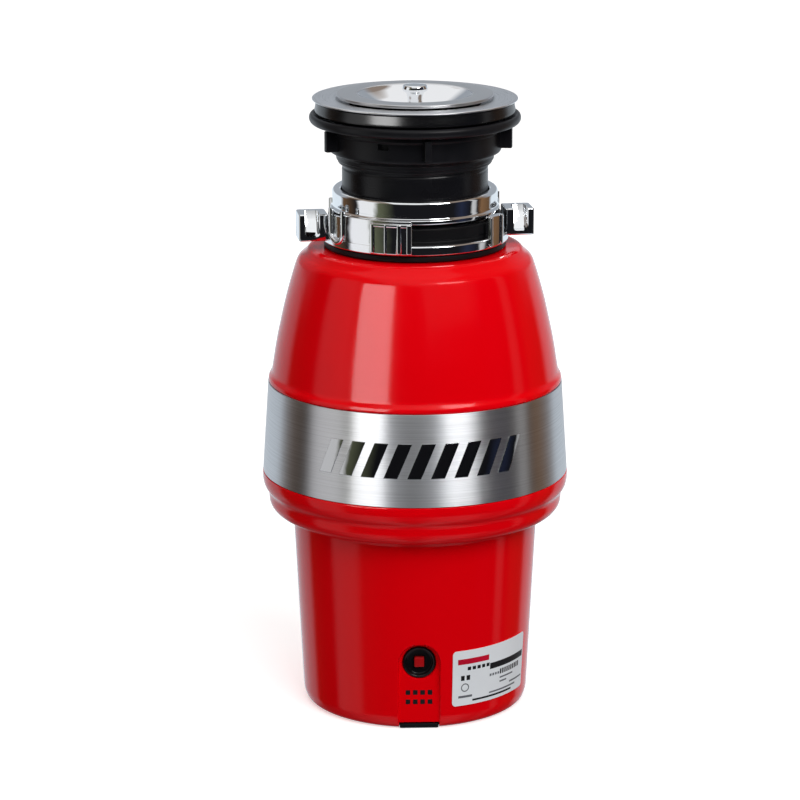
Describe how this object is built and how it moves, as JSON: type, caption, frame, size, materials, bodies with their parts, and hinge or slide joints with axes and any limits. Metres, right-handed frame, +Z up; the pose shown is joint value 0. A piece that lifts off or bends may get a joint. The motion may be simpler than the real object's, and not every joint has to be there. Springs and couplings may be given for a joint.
{
  "type": "kitchen garbage disposal",
  "caption": "Compact under-sink food-waste disposer with red two-part casing, steel trim band, chrome lock ring, winged nut and sink flange with stopper.",
  "frame": {"origin": "centre of the underside of the base plate", "axes": "+Z up along the motor shaft and sink drain, +Y towards the discharge port, -Y towards the reset button"},
  "size_m": [0.1726, 0.2274, 0.3543],
  "materials": {
    "red_gloss": "high gloss red moulded casing",
    "chrome": "bright chrome plated die casting",
    "brushed_steel": "brushed stainless steel",
    "polished_steel": "polished stainless steel",
    "black_plastic": "satin black moulded plastic",
    "black_rubber": "black rubber",
    "cast_aluminium": "die-cast aluminium",
    "motor_steel": "plain machined or laminated steel",
    "copper": "enamelled copper wire",
    "label_film": "silver-white printed film",
    "signal_red": "red moulded button"
  },
  "bodies": {
    "casing": {"upper_housing": "red_gloss", "lower_housing": "red_gloss", "trim_band": "brushed_steel", "base_plate": "black_plastic", "base_screw_1": "motor_steel", "base_screw_2": "motor_steel", "base_screw_3": "motor_steel", "rating_label": "label_film", "cable_gland": "black_plastic", "overload_protector": "black_plastic", "lower_end_frame": "cast_aluminium", "stator_core": "motor_steel", "main_winding": "copper", "start_winding": "copper", "lower_bearing": "motor_steel", "upper_bearing": "motor_steel", "through_bolt_1": "motor_steel", "through_bolt_2": "motor_steel", "through_bolt_3": "motor_steel", "through_bolt_4": "motor_steel", "start_relay": "black_plastic", "drain_chamber": "cast_aluminium", "shaft_seal": "black_rubber", "hopper": "polished_steel", "grind_ring": "motor_steel", "dishwasher_inlet": "black_plastic", "discharge_gasket": "black_rubber", "discharge_elbow": "black_plastic", "discharge_flange": "cast_aluminium", "flange_screw_1": "motor_steel", "flange_screw_2": "motor_steel", "cushion_mount": "black_rubber", "splash_guard": "black_rubber", "threaded_sleeve": "black_plastic", "snap_ring": "motor_steel", "collar_ring": "chrome", "sink_flange": "brushed_steel"},
    "backing": {"backing_ring": "black_plastic", "sink_gasket": "black_rubber"},
    "nut": {"mounting_nut": "black_plastic"},
    "lock_ring": {"lock_ring": "chrome"},
    "stopper": {"stopper_plate": "polished_steel", "stopper_knob": "polished_steel", "stopper_gasket": "black_rubber"},
    "reset": {"reset_button": "signal_red"},
    "rotor": {"rotor": "cast_aluminium", "shaft": "motor_steel", "turntable": "polished_steel", "turntable_nut": "motor_steel", "impeller_pin_1": "motor_steel", "impeller_pin_2": "motor_steel"},
    "impeller_1": {"impeller_1": "polished_steel"},
    "impeller_2": {"impeller_2": "polished_steel"}
  },
  "joints": [
    {"name": "nut_travel", "type": "slide", "parent": "casing", "child": "backing", "axis": [0, 0, -1], "range_m": [0, 0.009]},
    {"name": "nut_turn", "type": "hinge", "parent": "backing", "child": "nut", "pos_m": [0, 0, 0.32], "axis": [0, 0, 1], "range_deg": [0, 1080]},
    {"name": "ring_turn", "type": "hinge", "parent": "casing", "child": "lock_ring", "pos_m": [0, 0, 0.278], "axis": [0, 0, 1], "range_deg": [0, 50]},
    {"name": "stopper_lift", "type": "slide", "parent": "casing", "child": "stopper", "axis": [0, 0, 1], "range_m": [0, 0.06]},
    {"name": "reset_press", "type": "slide", "parent": "casing", "child": "reset", "axis": [0, 1, 0], "range_m": [0, 0.002], "stiffness_N_per_m": 400},
    {"name": "rotor_spin", "type": "hinge", "parent": "casing", "child": "rotor", "pos_m": [0, 0, 0.1], "axis": [0, 0, 1], "continuous": true},
    {"name": "impeller_1_swivel", "type": "hinge", "parent": "rotor", "child": "impeller_1", "pos_m": [0.036, 0, 0.185], "axis": [0, 0, 1], "continuous": true},
    {"name": "impeller_2_swivel", "type": "hinge", "parent": "rotor", "child": "impeller_2", "pos_m": [-0.036, 0, 0.185], "axis": [0, 0, 1], "continuous": true}
  ],
  "couplings": [
    {"joint": "nut_travel", "follows": "nut_turn", "m_per_rad": 0.00047746}
  ]
}
